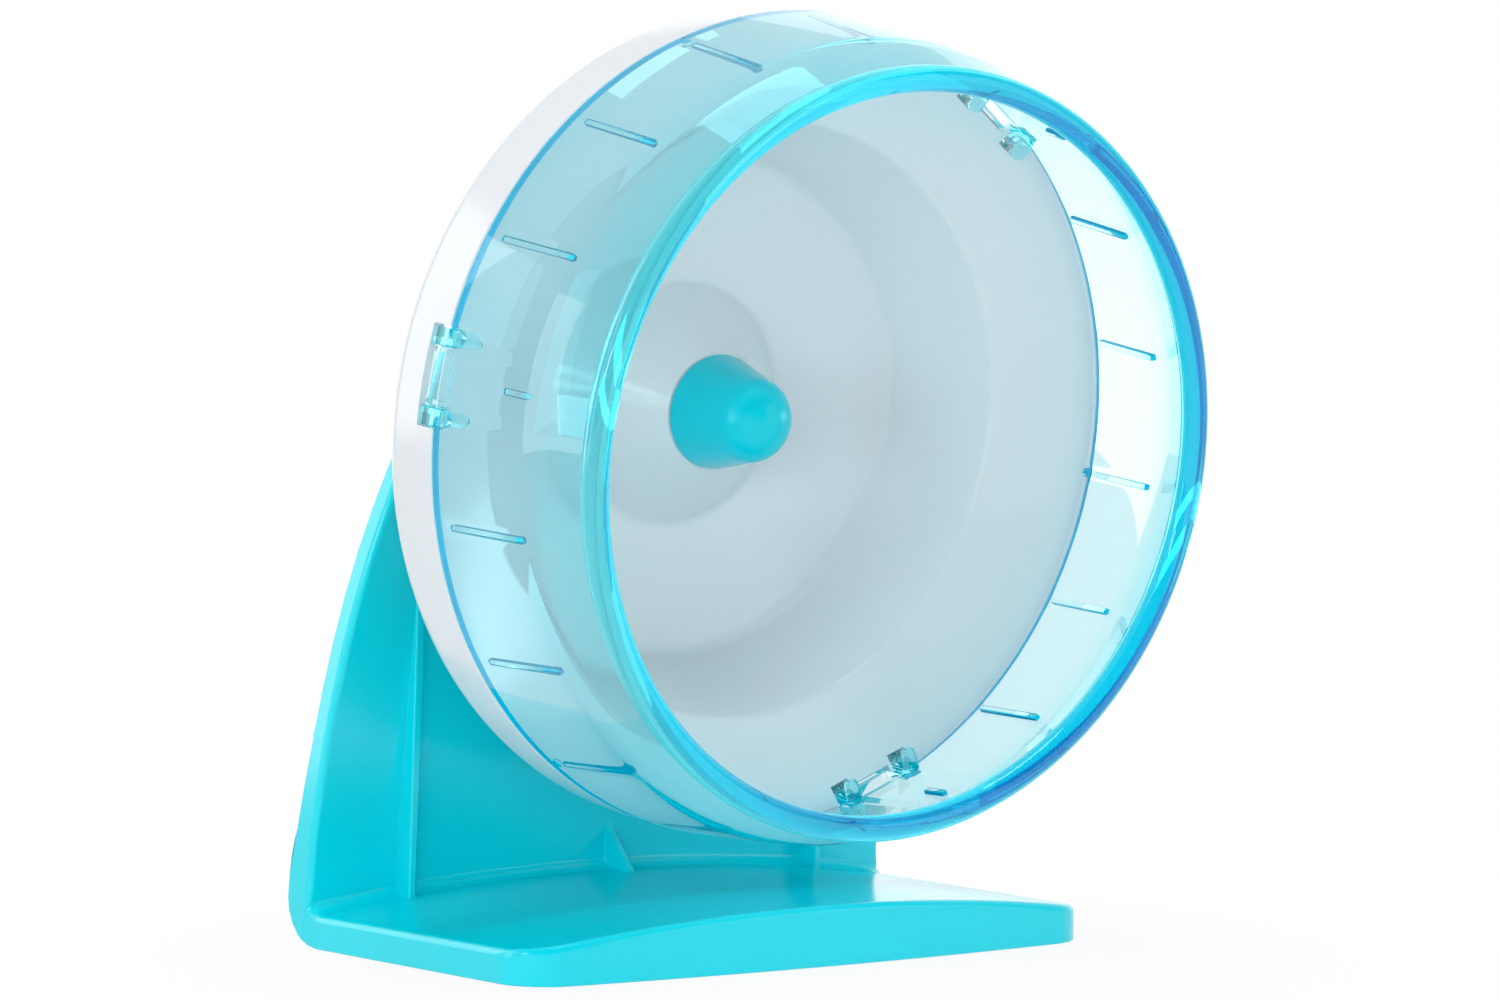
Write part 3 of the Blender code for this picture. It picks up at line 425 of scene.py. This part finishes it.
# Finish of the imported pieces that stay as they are; the rest of the bearing is steel.
cad_finish = {
    "axle_bolt": ZINC,
    "rear_washer": ZINC,
    "front_washer": ZINC,
    "lock_nut": ZINC,
    "bearing_clip": ZINC,
    "spacer_bush": NYLON,
    "bearing_cage": NYLON,
}
for name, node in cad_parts.items():
    node.data.materials.clear()
    node.data.materials.append(cad_finish.get(name, STEEL))


# Back disc. The front face runs through these corners, from the rim to the hub.

DISC_RIM = (68.3, -0.7)
SHELF_FOOT = (51.0, -7.8)
STEP_FOOT = (43.3, -27.7)
CONE_FOOT = (21.4, -31.9)
CONE_TOP = (10.0, -19.8)
DISC_WALL = 2.0
SKIRT_INSIDE = 68.1
ROLL_CENTRE = (64.1, -10.1)
ROLL_INSIDE, ROLL_OUTSIDE = 4.0, 5.9
CAP_BORE = 7.82
HOUSING_BORE, HOUSING_OUTSIDE = 9.8, 12.2
GROOVE = 10.6  # of the snap ring
HOUSING_FRONT, HOUSING_REAR = -22.2, -31.7
GROOVE_FRONT, GROOVE_REAR = -28.5, -30.1


def disc_outline():
    front = (DISC_RIM, SHELF_FOOT, STEP_FOOT, CONE_FOOT, CONE_TOP)
    shelf, step, pan, cone = [
        offset_line(start, end, -DISC_WALL) for start, end in zip(front, front[1:])
    ]
    points = [(69.95, -0.3, 0.45), (68.6, -0.3, 0.25), (68.2, -0.75, 0.3)]
    points += [(*SHELF_FOOT, 1.6), (*STEP_FOOT, 3.2), (*CONE_FOOT, 2.2), (*CONE_TOP, 0.25)]
    points += [(CAP_BORE, CONE_TOP[1], 0), (CAP_BORE, HOUSING_FRONT, 0)]
    points += [(HOUSING_BORE, HOUSING_FRONT, 0), (HOUSING_BORE, GROOVE_FRONT, 0)]
    points += [(GROOVE, GROOVE_FRONT, 0), (GROOVE, GROOVE_REAR, 0)]
    points += [(HOUSING_BORE, GROOVE_REAR, 0), (HOUSING_BORE, HOUSING_REAR, 0.2)]
    points += [(HOUSING_OUTSIDE, HOUSING_REAR, 0.2)]
    housing = (Vector((HOUSING_OUTSIDE, HOUSING_REAR)), Vector((HOUSING_OUTSIDE, CONE_TOP[1])))
    skirt = (Vector((SKIRT_INSIDE, 0)), Vector((SKIRT_INSIDE, HOUSING_FRONT)))
    points.append((*meeting(housing, cone), 0.4))
    points.append((*meeting(cone, pan), 1.0))
    points.append((*meeting(pan, step), 2.4))
    points.append((*meeting(step, shelf), 1.6))
    points.append((*meeting(shelf, skirt), 0.8))
    closing = [(SKIRT_INSIDE, -9.0, 0), (69.9, -9.0, 0)]
    outline = rounded(points + closing)[: -len(closing)]
    outline += arc(*ROLL_CENTRE, ROLL_INSIDE, 0.0, -90.0, 8)
    outline += [(64.0, -14.6), (64.0, -15.6)]
    outline += arc(*ROLL_CENTRE, ROLL_OUTSIDE, -90.0, 0.0, 12)
    return outline


def make_disc():
    work = bmesh.new()
    lathe(work, disc_outline(), RING_STEPS, PHASE)
    disc = finish_mesh("back_disc_shell", work)
    # Each notch is open at the rim, with a pocket for each hook and a slot for the tongue.
    low, high = -4.8, 2.0
    rim, beyond, pocket, slot = 67.5, 72.5, 64.8, 66.2
    opening, outer, inner, tongue = 8.35, 8.3, 4.6, 3.9
    outline = [(rim, -outer), (rim, -opening), (beyond, -opening), (beyond, opening)]
    outline += [(rim, opening), (rim, outer), (pocket, outer), (pocket, inner)]
    outline += [(rim, inner), (rim, tongue), (slot, tongue), (slot, -tongue)]
    outline += [(rim, -tongue), (rim, -inner), (pocket, -inner), (pocket, -outer)]
    work = bmesh.new()
    for angle in CLIP_ANGLES:
        prism(work, outline, low, high, on_wheel(angle))
    boolean(disc, work, "DIFFERENCE")
    return move_to_axle(disc)


# Running drum

DRUM_RADIUS = 70.0
TREAD_LENGTH = 23.0
TREAD_DROP = 3.2  # how much the tread's radius shrinks on the way to the front
BEAD_CENTRE = (61.5, 33.9)
BEAD_RADIUS = 2.2
BEAD_SEAT_RADIUS = 2.24
BAR_START, SHORT_BAR_START, BAR_END = 2.9, 14.6, 20.3
BAR_HALF = 0.55
BAR_FOOT = -1.2  # inside the wall, below the tread's outer face
BAR_SHOULDER, BAR_BACK = -2.5, -2.68
BAR_CHAMFER = 0.12
PIP_RADIUS, PIP_LENGTH = 0.8, 2.0
TONGUE_REAR, TONGUE_FRONT = -4.2, 1.6
HOOK_PLACE = 6.45  # across, from the middle of a snap joint
HOOK_WIDTH = 3.0
HOOK_BEVEL = 0.16
PEG_RADIUS = 1.35
PEG_PLACE = 1.75
PEG_SIDES = 20


def drum_outline():
    """The wall, outside from the rear edge to the bead's seat, then back along the inside."""
    outer = [(69.94, 0.45, 0), (66.8, 23.0, 28.0), (64.75, 28.6, 5.0), (63.38, 32.45, 0)]
    inner = [(59.7, 32.6, 0), (62.6, 27.3, 5.0), (64.9, 23.0, 24.0), (68.05, 0.45, 0)]
    # Points that only close an outline while its corners are rounded
    after_outer = [(60.0, 30.0, 0)]
    before_inner, after_inner = [(62.0, 34.0, 0)], [(69.0, 0.0, 0), (70.0, 5.0, 0)]
    outline = rounded(outer + after_outer, PROFILE_STEPS)[:-1]
    outline += arc(*BEAD_CENTRE, BEAD_SEAT_RADIUS, -38.0, -142.0, 9)
    outline += rounded(before_inner + inner + after_inner, PROFILE_STEPS)[2:-2]
    outline += [(68.15, 0.25), (68.4, 0.0), (69.7, 0.0), (69.95, 0.2)]
    return outline


def make_bead():
    """The rolled front rim."""
    work = bmesh.new()
    lathe(work, arc(*BEAD_CENTRE, BEAD_RADIUS, 0.0, 350.0, 35), BEAD_STEPS, PHASE)
    bead = finish_mesh("drum_bead", work, AXLE)
    bead.data.materials.append(BEAD)
    return bead


def on_tread(angle):
    slope = math.atan2(TREAD_DROP, TREAD_LENGTH)
    return (
        on_wheel(angle)
        @ Matrix.Translation((DRUM_RADIUS, 0, 0))
        @ Matrix.Rotation(-slope, 4, "Y")
    )


def grip_bar(work, angle, start):
    """A bar with a flat back and tapered ends, along the inside of the tread."""
    outline = [(BAR_FOOT, -BAR_HALF), (BAR_SHOULDER, -BAR_HALF)]
    outline += [(BAR_BACK, -BAR_HALF + BAR_CHAMFER), (BAR_BACK, BAR_HALF - BAR_CHAMFER)]
    outline += [(BAR_SHOULDER, BAR_HALF), (BAR_FOOT, BAR_HALF)]
    taper = ((0, 0.35), (0.12, 0.75), (0.45, 1.0))  # from each end, and share of the full size
    sections = [(start + reach, share) for reach, share in taper]
    sections += [(BAR_END - reach, share) for reach, share in reversed(taper)]
    matrix = on_tread(angle)
    rows = []
    for place, share in sections:
        row = []
        for x, y in outline:
            height = (x - BAR_FOOT) * (0.55 + 0.45 * share)
            width = y * (0.4 + 0.6 * share)
            row.append(work.verts.new(matrix @ Vector((BAR_FOOT + height, width, place))))
        rows.append(row)
    skin(work, rows)


def hook(work, angle, side):
    """A snap hook: block over the rim with a catch that reaches under the disc's shelf.
    Its outline gives radius, place along the axle and corner radius."""
    outline = [
        (70.02, 2.4, 0.3),
        (70.5, 1.5, 0.4),
        (70.5, -3.3, 0.4),
        (69.3, -4.5, 0.4),
        (67.0, -4.5, 0),
        (67.0, -6.1, 0.2),
        (63.5, -6.1, 0.2),
        (63.5, -5.3, 0.2),
        (67.1, -3.5, 0),
        (67.1, 1.2, 0),
        (68.6, 1.9, 0),
    ]
    high = side * HOOK_PLACE + HOOK_WIDTH / 2
    lay = Matrix.Translation((0, high, 0)) @ Matrix.Rotation(math.radians(90.0), 4, "X")
    block = bmesh.new()
    prism(block, rounded(outline, 1), 0.0, HOOK_WIDTH)
    flat = [face for face in block.faces if len(face.verts) > 4]
    rims = list({edge for face in flat for edge in face.edges})
    bmesh.ops.bevel(block, geom=rims, offset=HOOK_BEVEL, segments=1, affect="EDGES")
    bmesh.ops.transform(block, matrix=on_wheel(angle) @ lay, verts=block.verts)
    mesh = as_mesh("block", block)
    work.from_mesh(mesh)
    bpy.data.meshes.remove(mesh)


def peg(work, angle, side):
    """A round peg beside each hook that presses on the front of the disc's shelf."""
    rows = []
    for radius, share in ((69.0, 1.0), (64.6, 1.0), (63.9, 0.86), (63.5, 0.5)):
        row = []
        for k in range(PEG_SIDES):
            t = 2 * math.pi * k / PEG_SIDES
            y = side * HOOK_PLACE + PEG_RADIUS * share * math.cos(t)
            a = PEG_PLACE + PEG_RADIUS * share * math.sin(t)
            row.append(work.verts.new(on_wheel(angle) @ Vector((radius, y, a))))
        rows.append(row)
    skin(work, rows)


def from_clip(turn):
    """Angle in degrees from the nearest snap joint's middle."""
    return min(abs((turn - angle + 180.0) % 360.0 - 180.0) for angle in CLIP_ANGLES)


def mark_edges(drum):
    """Gives the cut rear edge its painted glow and the bars' flanks their painted dark outline.
    """
    clip_reach = 6.9
    edge_low, edge_high, edge_inside = -0.1, 0.47, 67.9
    bars_low, bars_high, bars_outside = 2.5, 21.0, 68.2
    for face in drum.data.polygons:
        x, y, a = face.center / MM
        radius = math.hypot(x, y)
        away = from_clip(math.degrees(math.atan2(y, x)))
        across = abs(face.normal.x * -y + face.normal.y * x) / radius
        rear = edge_low < a < edge_high and radius > edge_inside and away > clip_reach
        flank = across > 0.9 and bars_low < a < bars_high and radius < bars_outside
        if rear:
            face.material_index = 1
        elif flank:
            face.material_index = 2


def make_drum():
    work = bmesh.new()
    lathe(work, drum_outline(), RING_STEPS, PHASE)
    drum = finish_mesh("running_drum_shell", work)
    work = bmesh.new()
    for k in range(BARS):
        grip_bar(work, bar_angle(k), SHORT_BAR_START if k in CLIP_BARS else BAR_START)
    lay = Matrix.Translation((69.0, 0, PIP_RADIUS)) @ Matrix.Rotation(math.radians(-90.0), 4, "Y")
    pip = arc(0, 0, PIP_RADIUS, 0, 330, 11)
    for angle in CLIP_ANGLES:
        prism(work, pip, 0, PIP_LENGTH, on_wheel(angle + PIP_TURN) @ lay)
    boolean(drum, work, "UNION")
    work = bmesh.new()
    tongue = [(67.75, -6.2), (69.0, -6.2), (69.0, 6.2), (67.75, 6.2)]
    for angle in CLIP_ANGLES:
        prism(work, tongue, TONGUE_REAR, TONGUE_FRONT, on_wheel(angle))
    boolean(drum, work, "UNION")
    for material in (CLEAR, EDGE, BAR_EDGE):
        drum.data.materials.append(material)
    mark_edges(drum)
    return move_to_axle(drum)


def make_clips():
    """The snap hooks with their pegs, where the plastic is thick."""
    sides = (1, -1)
    work = bmesh.new()
    for angle in CLIP_ANGLES:
        for side in sides:
            hook(work, angle, side)
    clips = finish_mesh("drum_clips", work)
    work = bmesh.new()
    for angle in CLIP_ANGLES:
        for side in sides:
            peg(work, angle, side)
    boolean(clips, work, "UNION")
    merge_slivers(clips)
    clips.data.materials.append(CLIP)
    clips.data.materials.append(EDGE)
    # The small bevels round each hook's outer block take the painted edge glow.
    least_turn, most_turn = 0.35, 0.9
    block_inside = 68.3
    largest_face = 1.2 * MM * MM
    for face in clips.data.polygons:
        x, y, a = face.center / MM
        radius = math.hypot(x, y)
        turned = abs(face.normal.dot(Vector((-y, x, 0)) / radius))
        bevel = least_turn < turned < most_turn and face.area < largest_face
        if bevel and radius > block_inside:
            face.material_index = 1
    return move_to_axle(clips)


# Hub cap

CAP_BASE, CAP_TIP = -19.5, -3.5
CAP_FOOT_RADIUS = 10.0
DOME_RADIUS, DOME_HEIGHT = 7.4, 6.3
HOLLOW_RADIUS, HOLLOW_HEIGHT = 5.9, 4.8
CAP_WALL = 1.5
SPIGOT_INSIDE, SPIGOT_OUTSIDE, SPIGOT_LENGTH = 6.52, 7.52, 1.8


def dome(radius, height, degrees):
    """Points of the cap's rounded end, at these angles above its base."""
    base = CAP_TIP - DOME_HEIGHT
    turns = [math.radians(t) for t in degrees]
    return [(radius * math.cos(turn), base + height * math.sin(turn), 0) for turn in turns]


def make_cap():
    outline = [(CAP_FOOT_RADIUS, CAP_BASE, 0.35)]
    outline += dome(DOME_RADIUS, DOME_HEIGHT, range(4, 88, 6))
    outline += [(0, CAP_TIP, 0), (0, CAP_TIP - CAP_WALL, 0)]
    outline += dome(HOLLOW_RADIUS, HOLLOW_HEIGHT, (75, 55, 35, 15))
    outline += [(SPIGOT_INSIDE, CAP_BASE + CAP_WALL, 0)]
    outline += [(SPIGOT_INSIDE, CAP_BASE - SPIGOT_LENGTH, 0)]
    outline += [(SPIGOT_OUTSIDE, CAP_BASE - SPIGOT_LENGTH, 0), (SPIGOT_OUTSIDE, CAP_BASE, 0)]
    work = bmesh.new()
    lathe(work, rounded(outline, 3), CAP_STEPS)
    return finish_mesh("hub_cap_shell", work, AXLE)


disc = make_disc()
disc.data.materials.append(WHITE)
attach(disc, "wheel")
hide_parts("back_disc")

drum = make_drum()
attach(drum, "wheel")
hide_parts("running_drum")

for piece in (make_bead(), make_clips()):
    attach(piece, "wheel")
    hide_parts("running_drum")

cap = make_cap()
cap.data.materials.append(CAP_BLUE)
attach(cap, "cap")
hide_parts("hub_cap")


# Stand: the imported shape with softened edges

WELD = 0.005 * MM
MIDDLE = 0.02 * MM  # vertices this near the middle plane lie on it
SHORTEST_EDGE = 0.05 * MM
SOFT_EDGE = 0.3 * MM


def everything(work):
    return work.verts[:] + work.edges[:] + work.faces[:]


def make_stand():
    """The right half with its mirror image, as the moulding is the same on both sides."""
    work = bmesh.new()
    work.from_mesh(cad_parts["stand"].data)
    bmesh.ops.remove_doubles(work, verts=work.verts, dist=WELD)
    bmesh.ops.bisect_plane(
        work,
        geom=everything(work),
        dist=MIDDLE,
        plane_co=(0, 0, 0),
        plane_no=(1, 0, 0),
        clear_inner=True,
    )
    for vert in work.verts:
        if abs(vert.co.x) < MIDDLE:
            vert.co.x = 0.0
    bmesh.ops.remove_doubles(work, verts=work.verts, dist=WELD)
    bmesh.ops.mirror(work, geom=everything(work), merge_dist=WELD, axis="X")
    bmesh.ops.dissolve_limit(
        work, angle_limit=math.radians(0.6), verts=work.verts, edges=work.edges
    )
    bmesh.ops.dissolve_degenerate(work, edges=work.edges, dist=SHORTEST_EDGE)
    stand = finish_mesh("stand_moulding", work, scale=False)
    bevel = stand.modifiers.new("edges", "BEVEL")
    bevel.width = SOFT_EDGE
    bevel.segments = 3
    bevel.use_clamp_overlap = False
    bevel.limit_method = "ANGLE"
    bevel.angle_limit = math.radians(40.0)
    normals = stand.modifiers.new("normals", "WEIGHTED_NORMAL")
    normals.weight = 100
    normals.keep_sharp = True
    return stand


stand = make_stand()
stand.data.materials.clear()
stand.data.materials.append(TURQUOISE)
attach(stand, "stand")
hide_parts("stand")


# Stage, light and camera

FLOOR_SIZE = 4.0
FLOOR_DROP = 0.2 * MM
FILL = 0.33


def make_floor():
    """White to every direct look, and slightly darker under the object."""
    work = bmesh.new()
    bmesh.ops.create_grid(work, x_segments=1, y_segments=1, size=FLOOR_SIZE)
    floor = finish_mesh("floor", work, scale=False)
    floor.location.z = -FLOOR_DROP
    material, nodes, links, shader, out = new_material("studio_floor")
    shader.inputs["Base Color"].default_value = (0.92, 0.92, 0.92, 1.0)
    shader.inputs["Roughness"].default_value = 0.9
    shader.inputs["Specular IOR Level"].default_value = 0.0
    path = nodes.new("ShaderNodeLightPath")
    kinds = ("Is Camera Ray", "Is Glossy Ray", "Is Transmission Ray")
    direct = any_ray(nodes, links, path, *kinds)
    where = nodes.new("ShaderNodeTexCoord")
    reach = nodes.new("ShaderNodeVectorMath")
    reach.operation = "LENGTH"
    links.new(where.outputs["Object"], reach.inputs[0])
    near, far, least = 0.05, 0.13, 0.92
    fade = smooth_step(nodes, links, reach.outputs["Value"], near, far, least, 1.0)
    share = nodes.new("ShaderNodeMath")
    share.operation = "MULTIPLY"
    links.new(direct, share.inputs[0])
    links.new(fade, share.inputs[1])
    glow = nodes.new("ShaderNodeEmission")
    glow.inputs["Color"].default_value = (1.0, 1.0, 1.0, 1.0)
    bsdf, white = shader.outputs["BSDF"], glow.outputs["Emission"]
    links.new(mixed(nodes, links, share.outputs[0], bsdf, white), out.inputs["Surface"])
    floor.data.materials.append(material)


def make_world():
    """Even fill for the object, and white where the camera or clear plastic looks straight at it.
    Gloss sees a bright backdrop on the far side and a dimmer room on the near side."""
    far_side = (0.35, 0.93, 0.0)
    dim_room = 0.04
    world = bpy.data.worlds.new("studio")
    bpy.context.scene.world = world
    world.use_nodes = True
    nodes, links = world.node_tree.nodes, world.node_tree.links
    nodes.clear()

    def background(colour, strength):
        node = nodes.new("ShaderNodeBackground")
        node.inputs["Color"].default_value = (*colour, 1.0)
        node.inputs["Strength"].default_value = strength
        return node

    out = nodes.new("ShaderNodeOutputWorld")
    path = nodes.new("ShaderNodeLightPath")
    direct = any_ray(nodes, links, path, "Is Camera Ray", "Is Transmission Ray")
    fill = background((0.97, 0.99, 1.0), FILL)
    white = background((1.0, 1.0, 1.0), 1.0)
    gloss = background((1.0, 1.0, 1.0), 1.0)
    where = nodes.new("ShaderNodeTexCoord")
    facing = along(nodes, links, where.outputs["Generated"], far_side)
    bright = smooth_step(nodes, links, facing, -0.35, 0.45, dim_room, 1.0)
    links.new(bright, gloss.inputs["Strength"])
    is_gloss = path.outputs["Is Glossy Ray"]
    room = mixed(nodes, links, is_gloss, fill.outputs["Background"], gloss.outputs["Background"])
    seen = mixed(nodes, links, direct, room, white.outputs["Background"])
    links.new(seen, out.inputs["Surface"])


def softbox(name, place, target, size, watts):
    light = bpy.data.lights.new(name, "AREA")
    light.shape = "RECTANGLE"
    light.size, light.size_y = size
    light.energy = watts
    lamp = on_scene(name, light)
    lamp.location = place
    aim = Vector(target) - Vector(place)
    lamp.rotation_euler = aim.to_track_quat("-Z", "Y").to_euler()
    lamp.visible_camera = False
    return lamp


def make_camera():
    """The camera that was fitted to the photo."""
    sensor = 36.0
    focal_pixels, photo_pixels = 4795.15, 1500.0
    data = bpy.data.cameras.new("camera")
    camera = on_scene("camera", data)
    data.sensor_width = sensor
    data.lens = sensor * focal_pixels / photo_pixels
    data.clip_start = 0.01
    data.clip_end = 20.0
    right = Vector((0.80428, -0.59418, 0.00895)).normalized()
    up = Vector((0.01211, 0.03144, 0.99943))
    up = (up - right * up.dot(right)).normalized()
    back = right.cross(up)
    turn = Matrix((right, up, back)).transposed().to_4x4()
    place = HUB + Vector((-0.48295, -0.64375, 0.01398))
    camera.matrix_world = Matrix.Translation(place) @ turn
    bpy.context.scene.camera = camera


make_floor()
make_world()

# Each lamp has its place and aim in metres, its width and height, and its power.
soft = [
    softbox("left", (-1.15, 0.10, 0.45), (0, 0, 0.08), (0.8, 0.8), 3.2),
    softbox("overhead", (0.0, -0.12, 1.15), (0, -0.05, 0.06), (0.5, 0.5), 4.8),
    softbox("low_front", (-0.62, -0.85, 0.04), (0, 0, 0.03), (0.6, 0.06), 1.2),
    softbox("front", (-0.62, -0.85, 0.22), (0, 0, 0.02), (0.6, 0.1), 1.3),
    softbox("right", (0.75, -1.0, 0.35), (0, 0, 0.05), (0.7, 0.7), 1.7),
    softbox("low_right", (1.05, -0.35, 0.12), (0, 0, 0.05), (0.6, 0.22), 1.5),
    softbox("low_left", (-1.05, -0.45, 0.10), (0, 0, 0.05), (0.5, 0.18), 1.6),
]
for lamp in soft:
    lamp.visible_glossy = lamp.name == "right"

# These lamps leave matt light alone: they show in gloss, the backdrop also in clear plastic.
backdrop = softbox("backdrop", (0.95, 1.29, 0.3), (0, 0, 0.08), (2.4, 1.6), 6.0)
kicker = softbox("kicker", (-0.80, 1.27, 0.50), (0, 0, 0.08), (0.62, 1.0), 3.8)
side = softbox("side", (-1.07, 0.44, 0.25), (0, 0, 0.09), (0.38, 0.9), 2.4)
spark = softbox("spark", (-1.13, -0.26, 0.385), (0, 0, 0.09), (0.16, 0.16), 1.0)
for lamp in (backdrop, kicker, side, spark):
    lamp.visible_diffuse = False
for lamp in (kicker, side, spark):
    lamp.visible_transmission = False
make_camera()
bpy.context.scene.view_settings.view_transform = "Standard"
